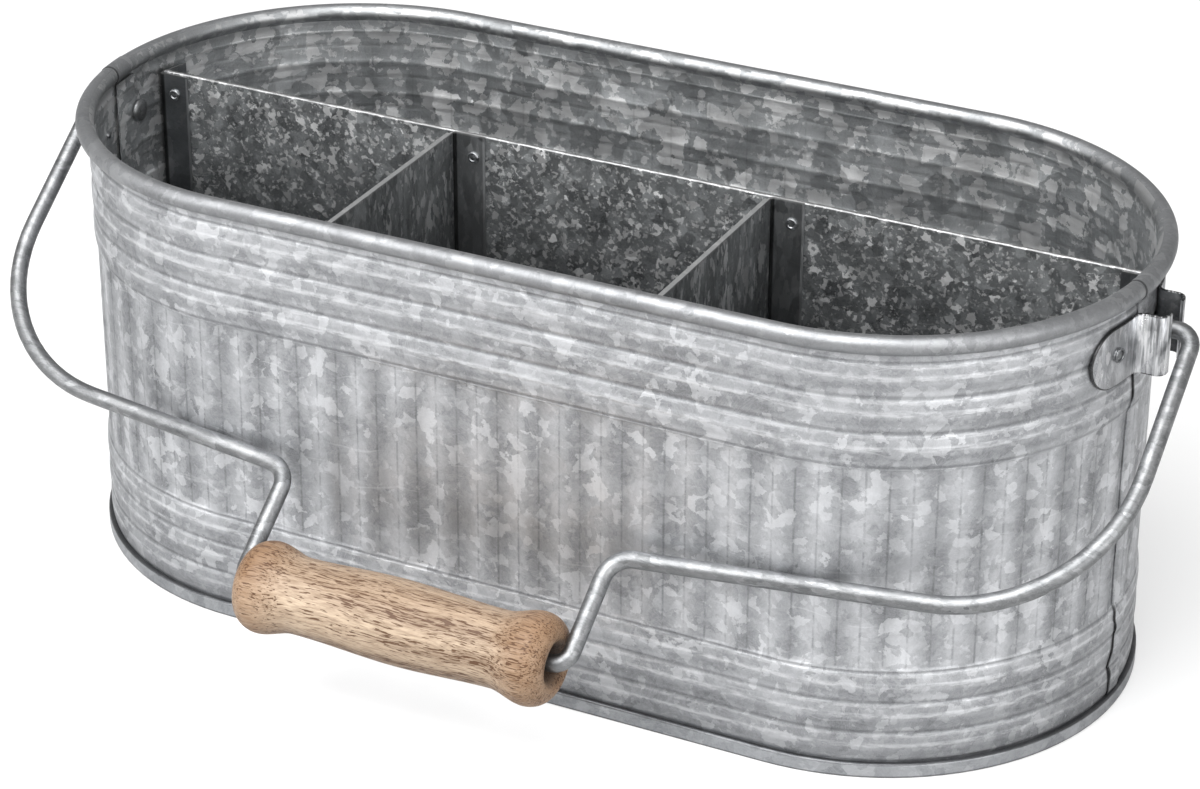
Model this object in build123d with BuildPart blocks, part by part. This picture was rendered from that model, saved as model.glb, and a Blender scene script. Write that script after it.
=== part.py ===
from build123d import *
import os
from math import asin, cos, degrees, pi, radians, sin, sqrt

# Utensil caddy of galvanized sheet: a stadium-shaped tub with a rolled wire rim and a seamed base,
# a long divider with two cross dividers, and a bail of bent wire with a turned wooden grip.
# Millimetres. X runs along the tub, -Y is the front, +Z is up, and the origin is on the ground
# under the middle of the base.

# Tub
height = 164.0
end_centre = 104.0  # from the middle of the tub to the centre of each half-round end
wall_radius = 91.2  # outside of the wall at its grooves, and half the width of the tub there
sheet = 0.6
fit_gap = 0.1  # between sheets that are nested or stood on each other

# Rolled rim
rim_wire_radius = 2.6
rim_bore_radius = rim_wire_radius + fit_gap
rim_bead_radius = rim_bore_radius + sheet
rim_overhang = 1.5  # from the outside of the wall to the centre of the rim bead
neck_height = 3.6  # plain wall between the rim bead and the highest groove

# Beads and ribs pressed into the wall
bead_height = 0.6
upper_bead_pitch = 12.6
lower_bead_pitch = 11.5
beads_in_band = 3
rib_width = 7.7
rib_depth = 0.4
rib_inset = 0.2  # from the grooves in to the rib crests, and from the valleys in to the steps

# Base
base_width = 3.2  # how far the seamed foot reaches out from the inside of the pan
base_height = 5.5
foot_round = 0.9
hook_clearance = 0.5  # over the hooked hem of the wall, inside the foot
floor_height = 3.0

# Lock seam at the middle of each end
seam_setback = 2.0  # from the middle of the end forward to the edge of the front sheet
outer_lap = 7.2
inner_lap = 12.0
fold_thickness = 0.8
collar_width = 11.0
collar_step = 0.2  # how far the collar stands out from the rim bead

# Dividers
divider_setback = 16.0  # how far behind the middle the long divider stands
divider_drop = 11.0  # from the top of the tub down to the dividers
hem_thickness = 1.8
hem_height = 5.0
hem_round = 0.7
cross_divider_left_x = -69.3
cross_divider_right_x = 54.7
flange_width = 12.5
flange_bend = 1.2
end_angle_leg = 11.0
end_angle_wrap = 12.0

# Rivets
shank_radius = 1.4
head_radius = 2.2
head_height = 0.9
tail_radius = 1.9
tail_height = 0.7
dome_fullness = 0.7  # share of a head's radius and height at the shoulder of its dome
tail_taper = 0.8  # share of a tail's radius that is left at its end
hole_depth = 6.0  # how far a rivet's or a pivot's hole is bored to both sides of its face
rivet_inset = 8.0  # from a cross divider to the rivets in its flange
high_rivet_drop = 8.5  # from the top of the dividers down to the high rivets
low_rivet_z = 30.0

# Ear leaves
ear_sheet = 1.0
ear_height = 21.5
ear_drop = 2.25  # from the pivots down to the middle of the ears
ear_pad_reach = 35.4
ear_half_width = 10.4
ear_depth = 10.8  # from the outside of the wall to the outside of the lips
ear_lip = 5.0
ear_bend = 1.6
ear_rivet_reach = 22.2
ear_rivet_drop = 1.6  # from the pivots down to the rivets

# Bail and grip
bail_wire_radius = 3.0
pivot_drop = 21.0  # from the top of the tub down to the pivots
pivot_clearance = 0.3
pivot_head_radius = 4.3
pivot_head_thickness = 1.6
arm_x = 212.3
arm_bend = 6.0
shoulder_reach = 107.8
shoulder_slope = 0.1
shoulder_bend = 60.0
leg_bend = 9.0
leg_gap = 3.5  # from each end of the grip to the centre line of the wire's leg
grip_shift = -11.5
grip_reach = 165.0
grip_corner_bend = 5.5
rest_gap = 0.6
grip_length = 117.0
grip_bore_radius = 3.7
grip_knob_radius = 16.0
grip_waist_radius = 13.2
grip_belly_radius = 14.5
grip_face_radius = 9.5
grip_mouth = 1.2  # chamfer round each end of the bore
grip_knob_length = 8.0
grip_waist_length = 24.0

# Places worked out from the sizes above
rim_radius = wall_radius + rim_overhang
rim_z = height - rim_bead_radius
upper_bead_top = height - 2 * rim_bead_radius - neck_height
rib_top = upper_bead_top - beads_in_band * upper_bead_pitch
rib_bottom = base_height + beads_in_band * lower_bead_pitch
rib_crest_radius = wall_radius - rib_inset
rib_valley_radius = rib_crest_radius - rib_depth
step_radius = rib_valley_radius - sheet - rib_inset
room_radius = step_radius - fit_gap
floor_top = floor_height + sheet
stand_z = floor_top + fit_gap
neck_depth = sqrt(rim_bead_radius**2 - rim_overhang**2)
neck_top = rim_z - neck_depth + 0.75 * sheet
lower_beads = [(base_height + step * lower_bead_pitch, lower_bead_pitch) for step in range(beads_in_band)]
upper_beads = [(rib_top + step * upper_bead_pitch, upper_bead_pitch) for step in range(beads_in_band)]
divider_top = height - divider_drop
high_rivet_z = divider_top - high_rivet_drop
pivot_z = height - pivot_drop
ear_middle_z = pivot_z - ear_drop
ear_rivet_z = pivot_z - ear_rivet_drop
leg_span = grip_length + 2 * leg_gap
end_axis = Axis((end_centre, 0, 0), (0, 0, 1))


def end_plane(angle):
    """Give the upright plane through the right end's centre, with its local x outward at this angle."""
    turn = radians(angle)
    return Plane(
        origin=(end_centre, 0, 0),
        x_dir=(cos(turn), sin(turn), 0),
        z_dir=(sin(turn), -cos(turn), 0),
    )


def end_angle_at(y, radius):
    """Give the angle round the right end at which this radius reaches this y."""
    return degrees(asin(y / radius))


def outward_plane(angle, radius, z):
    """Give the plane that faces outward on the right end at this angle, radius and height."""
    turn = radians(angle)
    out = Vector(cos(turn), sin(turn), 0)
    return Plane(origin=(end_centre + radius * out.X, radius * out.Y, z), z_dir=out)


def draw_side(radius, low, high, beads):
    """Draw one side of the wall's sheet seen edge on, with each bead given by its foot and pitch."""
    reached = low
    for foot, pitch in beads:
        if foot > reached:
            Line((radius, reached), (radius, foot))
        ThreePointArc((radius, foot), (radius + bead_height, foot + pitch / 2), (radius, foot + pitch))
        reached = foot + pitch
    Line((radius, reached), (radius, high))


def draw_strip(outside, low, high, beads):
    """Draw a strip of the wall's sheet seen edge on, both sides and both ends."""
    for radius in (outside, outside - sheet):
        draw_side(radius, low, high, beads)
    for z in (low, high):
        Line((outside, z), (outside - sheet, z))


def odd_steps(length):
    """Give the odd number of rib and valley steps that fits this length best."""
    return 2 * round((length / rib_width - 1) / 2) + 1


side_steps = odd_steps(2 * end_centre)
turn_steps = odd_steps(pi * wall_radius)
half_steps = side_steps + turn_steps


def rib_point(step, radius):
    """Give the point this many steps round the stadium, counted from the front left corner."""
    along = step % half_steps
    if along <= side_steps:
        x = end_centre * (2 * along / side_steps - 1)
        y = -radius
    else:
        turn = pi * ((along - side_steps) / turn_steps - 0.5)
        x = end_centre + radius * cos(turn)
        y = radius * sin(turn)
    behind = step % (2 * half_steps) >= half_steps
    return (-x, -y) if behind else (x, y)


def draw_ribs(valley_radius):
    """Draw the ribbed wall's outline round the whole stadium, a raised rib at every other step."""
    for step in range(2 * half_steps):
        start = rib_point(step, valley_radius)
        finish = rib_point(step + 1, valley_radius)
        if step % 2 == 1:
            ThreePointArc(start, rib_point(step + 0.5, valley_radius + rib_depth), finish)
        elif step % half_steps < side_steps:
            Line(start, finish)
        else:
            ThreePointArc(start, rib_point(step + 0.5, valley_radius), finish)


def make_rivet(face, stack):
    """Add a rivet with its domed head on this outward-facing plane and its tail behind the stack."""
    out = face.z_dir
    across = Vector(0, 0, 1).cross(out)
    section = Plane(origin=face.origin, x_dir=(0, 0, 1), z_dir=across)
    shoulder = (dome_fullness * head_radius, dome_fullness * head_height)
    with BuildSketch(section) as half_rivet:
        with BuildLine():
            dome = ThreePointArc((0, head_height), shoulder, (head_radius, 0))
            Polyline(
                dome @ 1,
                (shank_radius, 0),
                (shank_radius, -stack),
                (tail_radius, -stack),
                (tail_taper * tail_radius, -stack - tail_height),
                (0, -stack - tail_height),
                dome @ 0,
            )
        make_face()
    revolve(half_rivet.sketch, axis=Axis(face.origin, out))


def bore_through(face, radius, depth):
    """Cut a round hole through the part, this deep to both sides of the plane."""
    with BuildSketch(face) as hole:
        Circle(radius)
    extrude(hole.sketch, amount=depth, both=True, mode=Mode.SUBTRACT)


parts = {}

# Right half of the whole wall, which is parted into the front and the back shell below
pan_inside = wall_radius - 2 * sheet - fit_gap
foot_radius = pan_inside + base_width
hem_bottom = sheet + fit_gap
hook_reach = foot_radius - sheet - fit_gap
hook_top = base_height - sheet - hook_clearance

with BuildPart() as wall:
    with BuildSketch(end_plane(-90)) as wall_section:
        with BuildLine():
            draw_strip(wall_radius, rib_top - sheet, neck_top, upper_beads)
        make_face()
        with Locations((wall_radius, rib_top), (wall_radius, rib_bottom + sheet)):
            Rectangle(wall_radius - step_radius, sheet, align=(Align.MAX, Align.MAX))
        with BuildLine():
            draw_strip(wall_radius, hem_bottom, rib_bottom + sheet, lower_beads)
        make_face()
        with BuildLine():
            Polyline(
                (wall_radius - sheet, hem_bottom),
                (hook_reach, hem_bottom),
                (hook_reach, hook_top),
                (hook_reach - sheet, hook_top),
                (hook_reach - sheet, hem_bottom + sheet),
                (wall_radius - sheet, hem_bottom + sheet),
                close=True,
            )
        make_face()
        with Locations((rim_radius, rim_z)):
            Circle(rim_bead_radius)
            Circle(rim_bore_radius, mode=Mode.SUBTRACT)
    extrude(amount=end_centre)
    revolve(wall_section.sketch, axis=end_axis, revolution_arc=180)
    extrude(wall_section.sketch.mirror(Plane.XZ), amount=end_centre, dir=(-1, 0, 0))
    with BuildSketch(Plane.XY.offset(rib_bottom)) as rib_plan:
        with BuildLine():
            draw_ribs(rib_valley_radius)
        make_face()
        with BuildLine():
            draw_ribs(rib_valley_radius - sheet)
        make_face(mode=Mode.SUBTRACT)
    extrude(amount=rib_top - rib_bottom)
    split(bisect_by=Plane.YZ, keep=Keep.TOP)

# Lock seam: the back sheet folds round the front sheet's edge, and its bead sleeves the front bead
leaf_outside = wall_radius + fit_gap + sheet
collar_radius = rim_bead_radius + collar_step
leaf_high = rim_z - collar_radius + sheet
fold_plane = Plane(origin=(end_centre, -seam_setback, 0), x_dir=(1, 0, 0), z_dir=(0, -1, 0))
fold_angle = end_angle_at(-seam_setback + fold_thickness / 2, wall_radius)
outer_angle = end_angle_at(-seam_setback - outer_lap, wall_radius)
inner_angle = end_angle_at(-seam_setback - inner_lap, wall_radius)
collar_angle = end_angle_at(-seam_setback - collar_width, wall_radius)
ear_rivet_angle = end_angle_at(ear_rivet_reach, wall_radius)
ear_pad_inside = wall_radius + bead_height + fit_gap
ear_rivet_face = outward_plane(-ear_rivet_angle, ear_pad_inside + ear_sheet, ear_rivet_z)
back_ear_rivet_face = outward_plane(ear_rivet_angle, ear_pad_inside + ear_sheet, ear_rivet_z)
pivot_face = outward_plane(0, wall_radius, pivot_z)

with BuildPart() as front_shell:
    add(wall.part)
    split(bisect_by=Plane.XZ.offset(seam_setback + fit_gap), keep=Keep.TOP)
    with BuildSketch(end_plane(collar_angle)) as sleeve_room:
        with Locations((rim_radius, rim_z)):
            Circle(collar_radius + fit_gap)
    revolve(axis=end_axis, revolution_arc=fold_angle - collar_angle, mode=Mode.SUBTRACT)
    bore_through(ear_rivet_face, shank_radius + fit_gap, hole_depth)
    bore_through(pivot_face, bail_wire_radius + pivot_clearance, hole_depth)
    mirror(about=Plane.YZ)
parts["front_shell"] = front_shell

with BuildPart() as back_shell:
    add(wall.part)
    split(bisect_by=Plane.XZ.offset(seam_setback), keep=Keep.BOTTOM)
    with BuildSketch(end_plane(outer_angle)) as outer_leaf:
        with BuildLine():
            draw_strip(leaf_outside, base_height, leaf_high, lower_beads + upper_beads)
        make_face()
        with Locations((leaf_outside, base_height)):
            Rectangle(wall_radius, 2 * fit_gap, mode=Mode.SUBTRACT)
    revolve(axis=end_axis, revolution_arc=fold_angle - outer_angle)
    with BuildSketch(end_plane(inner_angle)) as inner_leaf:
        with Locations((room_radius - sheet / 2, (stand_z + leaf_high) / 2)):
            Rectangle(sheet, leaf_high - stand_z)
    revolve(axis=end_axis, revolution_arc=fold_angle - inner_angle)
    with BuildSketch(fold_plane) as seam_fold:
        with BuildLine():
            draw_side(leaf_outside - sheet / 2, base_height, leaf_high, lower_beads + upper_beads)
            Polyline(
                (leaf_outside - sheet / 2, base_height),
                (room_radius - sheet / 2, base_height),
                (room_radius - sheet / 2, leaf_high),
                (leaf_outside - sheet / 2, leaf_high),
            )
        make_face()
        with Locations((leaf_outside, base_height)):
            Rectangle(wall_radius, 2 * fit_gap, mode=Mode.SUBTRACT)
    extrude(amount=-fold_thickness)
    with BuildSketch(end_plane(collar_angle)) as rim_collar:
        with Locations((rim_radius, rim_z)):
            Circle(collar_radius)
            Circle(rim_bore_radius, mode=Mode.SUBTRACT)
    revolve(axis=end_axis, revolution_arc=fold_angle - collar_angle)
    bore_through(back_ear_rivet_face, shank_radius + fit_gap, hole_depth)
    bore_through(pivot_face, bail_wire_radius + pivot_clearance, hole_depth)
    mirror(about=Plane.YZ)
parts["back_shell"] = back_shell

with BuildPart() as rim_wire:
    with BuildSketch(end_plane(-90)) as wire_section:
        with Locations((rim_radius, rim_z)):
            Circle(rim_wire_radius)
    extrude(amount=end_centre)
    revolve(wire_section.sketch, axis=end_axis, revolution_arc=90)
    mirror(about=Plane.YZ)
    mirror(about=Plane.XZ)
parts["rim_wire"] = rim_wire

# Base pan: a raised floor whose edge folds down, out and up round the hooked hem of the wall
with BuildPart() as base_pan:
    with BuildSketch(end_plane(-90)) as foot_section:
        with BuildLine():
            Polyline(
                (pan_inside, 0),
                (foot_radius, 0),
                (foot_radius, base_height),
                (wall_radius + fit_gap, base_height),
                (wall_radius + fit_gap, base_height - sheet),
                (foot_radius - sheet, base_height - sheet),
                (foot_radius - sheet, sheet),
                (pan_inside + sheet, sheet),
                (pan_inside + sheet, floor_top),
                (pan_inside, floor_top),
                close=True,
            )
        make_face()
        fillet(foot_section.vertices().group_by(Axis.X)[-1], radius=foot_round)
    extrude(amount=end_centre)
    revolve(foot_section.sketch, axis=end_axis, revolution_arc=90)
    mirror(about=Plane.YZ)
    mirror(about=Plane.XZ)
    with BuildSketch(Plane.XY.offset(floor_height)):
        SlotCenterToCenter(2 * end_centre, 2 * pan_inside + sheet)
    extrude(amount=sheet)
parts["base_pan"] = base_pan

# Dividers
divider_front = divider_setback - sheet / 2
flange_front = divider_front - fit_gap - sheet
hem_back = divider_front + hem_thickness
divider_reach = end_centre + sqrt((room_radius - sheet - fit_gap) ** 2 - hem_back**2)
angle_corner_x = end_centre + sqrt((room_radius - sheet / 2) ** 2 - (flange_front + sheet / 2) ** 2)
end_rivet_x = angle_corner_x - end_angle_leg / 2
cross_divider_places = {
    "cross_divider_left": cross_divider_left_x,
    "cross_divider_right": cross_divider_right_x,
}


def rivet_faces(x):
    """Give the planes under the heads of the high and the low rivet at this place along the divider."""
    return [Plane(origin=(x, flange_front, z), z_dir=(0, -1, 0)) for z in (high_rivet_z, low_rivet_z)]


end_rivet_faces = rivet_faces(-end_rivet_x) + rivet_faces(end_rivet_x)
cross_rivet_faces = [face for x in cross_divider_places.values() for face in rivet_faces(x + rivet_inset)]

with BuildPart() as long_divider:
    with BuildSketch(Plane.XY.offset(stand_z)):
        with Locations((0, divider_setback)):
            Rectangle(2 * divider_reach, sheet)
    extrude(amount=divider_top - stand_z)
    with BuildSketch(Plane.YZ.offset(-divider_reach)) as divider_hem:
        with Locations((divider_front, divider_top)):
            Rectangle(hem_thickness, hem_height, align=(Align.MIN, Align.MAX))
        fillet(divider_hem.vertices().group_by(Axis.Y)[-1], radius=hem_round)
    extrude(amount=2 * divider_reach)
    with BuildSketch(Plane.YZ.offset(-divider_reach)) as hem_corner:
        with Locations((divider_front, divider_top)):
            Rectangle(hem_round, hem_round, align=(Align.MIN, Align.MAX))
        with Locations((divider_front + hem_round, divider_top - hem_round)):
            Circle(hem_round, mode=Mode.SUBTRACT)
    extrude(amount=2 * divider_reach, mode=Mode.SUBTRACT)
    for face in end_rivet_faces + cross_rivet_faces:
        bore_through(face, shank_radius + fit_gap, hole_depth)
parts["long_divider"] = long_divider

for name, x in cross_divider_places.items():
    front_flange_y = sheet / 2 - room_radius
    back_flange_y = flange_front + sheet / 2
    with BuildPart() as cross_divider:
        with BuildSketch(Plane.XY.offset(stand_z)):
            with BuildLine():
                FilletPolyline(
                    (x + flange_width, back_flange_y),
                    (x, back_flange_y),
                    (x, front_flange_y),
                    (x + flange_width, front_flange_y),
                    radius=flange_bend,
                )
            trace(line_width=sheet)
        extrude(amount=divider_top - stand_z)
        with BuildSketch(Plane.XZ.offset(2 * flange_bend - back_flange_y)) as cross_hem:
            with Locations((x + sheet / 2, divider_top)):
                Rectangle(hem_thickness, hem_height, align=(Align.MAX, Align.MAX))
        extrude(amount=back_flange_y - front_flange_y - 4 * flange_bend)
        for face in rivet_faces(x + rivet_inset):
            bore_through(face, shank_radius + fit_gap, hole_depth)
    parts[name] = cross_divider

with BuildPart() as end_angle_right:
    with BuildSketch(Plane.XY.offset(stand_z)):
        with Locations((end_centre, 0)):
            Circle(room_radius)
            Circle(room_radius - sheet, mode=Mode.SUBTRACT)
        with Locations((end_centre, flange_front)):
            Rectangle(2 * room_radius, end_angle_wrap, align=(Align.MIN, Align.MIN), mode=Mode.INTERSECT)
        with Locations((angle_corner_x, flange_front)):
            Rectangle(end_angle_leg, sheet, align=(Align.MAX, Align.MIN))
    extrude(amount=divider_top - hem_round - stand_z)
    for face in rivet_faces(end_rivet_x) + [back_ear_rivet_face]:
        bore_through(face, shank_radius + fit_gap, hole_depth)
parts["end_angle_right"] = end_angle_right

with BuildPart() as end_angle_left:
    add(end_angle_right.part.mirror(Plane.YZ))
parts["end_angle_left"] = end_angle_left

divider_stack = 2 * sheet + fit_gap
with BuildPart() as end_angle_rivets:
    for face in end_rivet_faces:
        make_rivet(face, divider_stack)
parts["end_angle_rivets"] = end_angle_rivets

with BuildPart() as cross_divider_rivets:
    for face in cross_rivet_faces:
        make_rivet(face, divider_stack)
parts["cross_divider_rivets"] = cross_divider_rivets

# Ears: at each end a front and a back leaf, whose lips keep the wire's end between them
pad_radius = ear_pad_inside + ear_sheet / 2
side_y = ear_sheet / 2 - ear_half_width
lip_x = end_centre + wall_radius + ear_depth - ear_sheet / 2
pad_start_angle = end_angle_at(-ear_pad_reach, pad_radius)
pad_end_angle = end_angle_at(side_y, pad_radius)

with BuildPart() as ear_leaf:
    with BuildSketch(Plane.XY.offset(ear_middle_z - ear_height / 2)):
        with BuildLine() as leaf_line:
            pad = CenterArc((end_centre, 0), pad_radius, pad_start_angle, pad_end_angle - pad_start_angle)
            Polyline(pad @ 1, (lip_x, side_y), (lip_x, ear_lip - ear_half_width))
            fillet(leaf_line.vertices().sort_by(Axis.Y)[1:3], radius=ear_bend)
        trace(line_width=ear_sheet)
    extrude(amount=ear_height)
    with BuildSketch(Plane.YZ.offset(end_centre)):
        with Locations((ear_height / 2 - ear_pad_reach, ear_middle_z)):
            Circle(ear_height / 2)
            Rectangle(ear_pad_reach, ear_height, align=(Align.MIN, Align.CENTER))
    extrude(amount=2 * wall_radius, mode=Mode.INTERSECT)
    bore_through(ear_rivet_face, shank_radius + fit_gap, hole_depth)

with BuildPart() as ear_leaf_front_right:
    add(ear_leaf.part)
parts["ear_leaf_front_right"] = ear_leaf_front_right

with BuildPart() as ear_leaf_back_right:
    add(ear_leaf.part.mirror(Plane.XZ))
parts["ear_leaf_back_right"] = ear_leaf_back_right

with BuildPart() as ear_leaf_front_left:
    add(ear_leaf.part.mirror(Plane.YZ))
parts["ear_leaf_front_left"] = ear_leaf_front_left

with BuildPart() as ear_leaf_back_left:
    add(ear_leaf.part.mirror(Plane.XZ).mirror(Plane.YZ))
parts["ear_leaf_back_left"] = ear_leaf_back_left

# The back rivets of the ears hold the end angles as well, so they reach further in
with BuildPart() as ear_rivets:
    make_rivet(ear_rivet_face, ear_pad_inside + ear_sheet - wall_radius + sheet)
    make_rivet(back_ear_rivet_face, ear_pad_inside + ear_sheet - room_radius + sheet + fit_gap)
    mirror(about=Plane.YZ)
parts["ear_rivets"] = ear_rivets

# Bail, drawn in its own plane with local y running from the pivots out to the grip
touch_reach = shoulder_reach + shoulder_slope * (arm_x - end_centre)
lean = asin((wall_radius + bail_wire_radius + rest_gap) / touch_reach)
bail_plane = Plane(origin=(0, 0, pivot_z), x_dir=(1, 0, 0), z_dir=(0, cos(lean), -sin(lean)))
head_outside_x = end_centre + room_radius - sheet - pivot_clearance
left_leg_x = grip_shift - leg_span / 2
right_leg_x = grip_shift + leg_span / 2


def shoulder_at(x):
    """Give how far from the pivots the shoulder's straight run lies at this x."""
    return shoulder_reach + shoulder_slope * (arm_x - abs(x))


with BuildPart() as bail_wire:
    with BuildLine(bail_plane) as bail_line:
        FilletPolyline(
            (-head_outside_x, 0),
            (-arm_x, 0),
            (-arm_x, shoulder_reach),
            (left_leg_x, shoulder_at(left_leg_x)),
            (left_leg_x, grip_reach),
            (right_leg_x, grip_reach),
            (right_leg_x, shoulder_at(right_leg_x)),
            (arm_x, shoulder_reach),
            (arm_x, 0),
            (head_outside_x, 0),
            radius=[
                arm_bend,
                shoulder_bend,
                leg_bend,
                grip_corner_bend,
                grip_corner_bend,
                leg_bend,
                shoulder_bend,
                arm_bend,
            ],
        )
    with BuildSketch(Plane(origin=bail_line.line @ 0, z_dir=bail_line.line % 0)):
        Circle(bail_wire_radius)
    sweep()
    for side in (-1, 1):
        with BuildSketch(Plane(origin=(side * head_outside_x, 0, pivot_z), z_dir=(-side, 0, 0))):
            Circle(pivot_head_radius)
        extrude(amount=pivot_head_thickness)
parts["bail_wire"] = bail_wire

# Grip, turned about the straight of the wire
grip_axis_origin = Vector(grip_shift, -grip_reach * sin(lean), pivot_z - grip_reach * cos(lean))
grip_half = grip_length / 2
knob_x = grip_half - grip_knob_length
waist_x = grip_half - grip_waist_length
mouth_x = grip_half - grip_mouth

with BuildPart() as wood_grip:
    with BuildSketch(Plane(origin=grip_axis_origin, x_dir=(1, 0, 0), z_dir=(0, -1, 0))) as grip_half_section:
        with BuildLine():
            Line((mouth_x, grip_bore_radius), (-mouth_x, grip_bore_radius))
            for side in (-1, 1):
                face_edge = (side * grip_half, grip_face_radius)
                mouth_edge = (side * grip_half, grip_bore_radius + grip_mouth)
                knob_edge = (side * knob_x, grip_knob_radius)
                Polyline((side * mouth_x, grip_bore_radius), mouth_edge, face_edge)
                TangentArc(knob_edge, face_edge, tangent=(side, 0), tangent_from_first=True)
            Spline(
                (-knob_x, grip_knob_radius),
                (-waist_x, grip_waist_radius),
                (0, grip_belly_radius),
                (waist_x, grip_waist_radius),
                (knob_x, grip_knob_radius),
                tangents=((1, 0), (1, 0)),
            )
        make_face()
    revolve(axis=Axis(grip_axis_origin, (1, 0, 0)))
parts["wood_grip"] = wood_grip

os.makedirs("parts", exist_ok=True)
for name, piece in parts.items():
    piece.part.label = name
    export_step(piece.part, f"parts/{name}.step")
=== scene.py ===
from math import acos, asin, cos, pi, radians, sin, sqrt

import bmesh
import bpy
from mathutils import Matrix, Vector


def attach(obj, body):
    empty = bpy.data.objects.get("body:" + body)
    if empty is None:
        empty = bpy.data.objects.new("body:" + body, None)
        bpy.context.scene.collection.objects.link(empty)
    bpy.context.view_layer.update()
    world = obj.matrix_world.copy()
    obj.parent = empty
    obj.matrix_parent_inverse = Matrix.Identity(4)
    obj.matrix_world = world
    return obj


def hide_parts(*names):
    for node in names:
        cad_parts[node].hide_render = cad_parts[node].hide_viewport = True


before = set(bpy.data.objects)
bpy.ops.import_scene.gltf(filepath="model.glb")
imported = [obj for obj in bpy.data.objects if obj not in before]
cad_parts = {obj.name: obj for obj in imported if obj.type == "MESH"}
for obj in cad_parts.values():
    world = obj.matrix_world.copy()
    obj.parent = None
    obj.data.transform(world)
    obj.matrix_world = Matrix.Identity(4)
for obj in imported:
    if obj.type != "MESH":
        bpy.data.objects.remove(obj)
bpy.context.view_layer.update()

MM = 0.001

# Wall, in millimetres like every size and place above the studio, and as on the solids
HEIGHT = 164.0
END_CENTRE = 104.0
WALL_RADIUS = 91.2
SHEET = 0.6
GAP = 0.1
WALL_FOOT = 0.7
BEAD_HEIGHT = 0.6
BEADS = 3
UPPER_FOOT, UPPER_PITCH = 116.0, 12.6
LOWER_FOOT, LOWER_PITCH = 5.5, 11.5
SIDE_RIBS, TURN_RIBS = 27, 37
SIDE_RIB = 2 * END_CENTRE / SIDE_RIBS
TURN_RIB = pi * WALL_RADIUS / TURN_RIBS
RIB_DEPTH, RIB_INSET = 0.4, 0.2
RIB_END_ROWS = (0.5, 1.0, 1.6)
RIB_END = RIB_END_ROWS[-1]
ROW_SPACING = 1.3
ROOM_RADIUS = WALL_RADIUS - 2 * RIB_INSET - RIB_DEPTH - SHEET - GAP

# Rim
RIM_RADIUS = 3.3
RIM_OUT = 1.5
RIM_Z = HEIGHT - RIM_RADIUS
RIM_STEPS = 32

# Seam at each end of the back half, each reach measured along Y from the middle of the end
SEAM_SETBACK = 2.0
COLLAR_STEP = 0.2
LEAF_START, OUTER_LEAF_REACH, INNER_LEAF_REACH, COLLAR_REACH = 1.6, 9.2, 14.0, 13.0
FOLD_REACHES = (2.0, 1.2)
OUTER_LEAF_FOOT, INNER_LEAF_FOOT = 5.6, 3.7
LEAF_TOP = RIM_Z - RIM_RADIUS - COLLAR_STEP + SHEET

# Dividers and their rivets
DIVIDER_TOP = 153.0
DIVIDER_FRONT = 16.0
CROSS_PLACES = (-69.3, 54.7)
CROSS_FOLD_SHIFT, CROSS_RIVET_SHIFT = 0.5, 8.0
CROSS_FOLDS = [place + CROSS_FOLD_SHIFT for place in CROSS_PLACES]
CROSS_FLANGE_WIDTH = 11.7
CROSS_FLANGE = (DIVIDER_FRONT - 2.0, DIVIDER_FRONT)
ANGLE_TOP = 152.3
ANGLE_FOLD, ANGLE_FLANGE_WIDTH, ANGLE_RIVET_SHIFT = -191.8, 10.5, 5.5
RIVET_HEIGHTS = (144.5, 30.0)

# Ears
EAR_SHEET, EAR_HEIGHT, EAR_MIDDLE_Z = 1.0, 21.5, 140.75
EAR_REACH, EAR_HALF_WIDTH, EAR_DEPTH = 35.4, 10.4, 10.8
EAR_LIP, EAR_BEND, EAR_CORNER = 5.0, 3.0, 0.2
EAR_INNER_FACE = 7
EAR_RIVET_Y, EAR_RIVET_Z = 22.2, 141.4

# Bail
PIVOT_Z = 143.0
PIVOT_CLEARANCE = 0.3
WIRE_RADIUS = 3.0
ARM_X, SHOULDER_REACH, SHOULDER_SLOPE = 212.3, 107.8, 0.1
ARM_BEND, SIDE_BEND, SHOULDER_BEND, GRIP_BEND = 6.0, 60.0, 9.0, 5.5
REST_GAP = 0.6
TOUCH_REACH = SHOULDER_REACH + SHOULDER_SLOPE * (ARM_X - END_CENTRE)
LEAN = asin((WALL_RADIUS + WIRE_RADIUS + REST_GAP) / TOUCH_REACH)
HEAD_X = END_CENTRE + ROOM_RADIUS - SHEET - PIVOT_CLEARANCE

# Grip
GRIP_LENGTH = 117.0
GRIP_SHIFT = -11.5
GRIP_REACH = 165.0
GRIP_MIDDLE = (GRIP_SHIFT, -131.9, 43.8)
LEG_GAP = 3.5
KNOB_RADIUS, NECK_RADIUS, BELLY_RADIUS = 16.0, 13.2, 14.5
KNOB_PLACE, NECK_PLACE = 8.0, 21.0
HOLLOW_EDGE_RADIUS = 9.5

# Heights on the wall, each pair from where a tone, a painted shade or a painted highlight sets in to where it
# is whole
DULL_RIM_HEIGHTS = (154.5, 157.5)
# the wall turns darker towards its foot between these heights
DARKER_FOOT_HEIGHTS = (36.0, 4.0)
OPEN_SEAM_HEIGHTS = (43.0, 38.0)
SEAM_BELOW_EAR, SEAM_BEHIND_EAR = (117.0, 120.0), (136.0, 132.0)
# the painted light and shade on the rib flanks sets in between these heights
RIB_SHADING_FOOT = (40.0, 42.0)
OUTER_RIB_TOP, INNER_RIB_TOP = 115.0, 148.0

# Tones that several finishes share, among them painted shadows, painted shade and a painted highlight
DULL_GREY = (0.22, 0.225, 0.23)
# painted shadow in the wall's open seam
SEAM_SHADOW_BLACK = (0.015, 0.015, 0.015)
# painted shadow in the flanges' folds
FOLD_SHADOW_BLACK = (0.02, 0.02, 0.02)
# painted shade round the ears' edges
EDGE_SHADOW_BLACK = (0.03, 0.03, 0.03)
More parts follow.
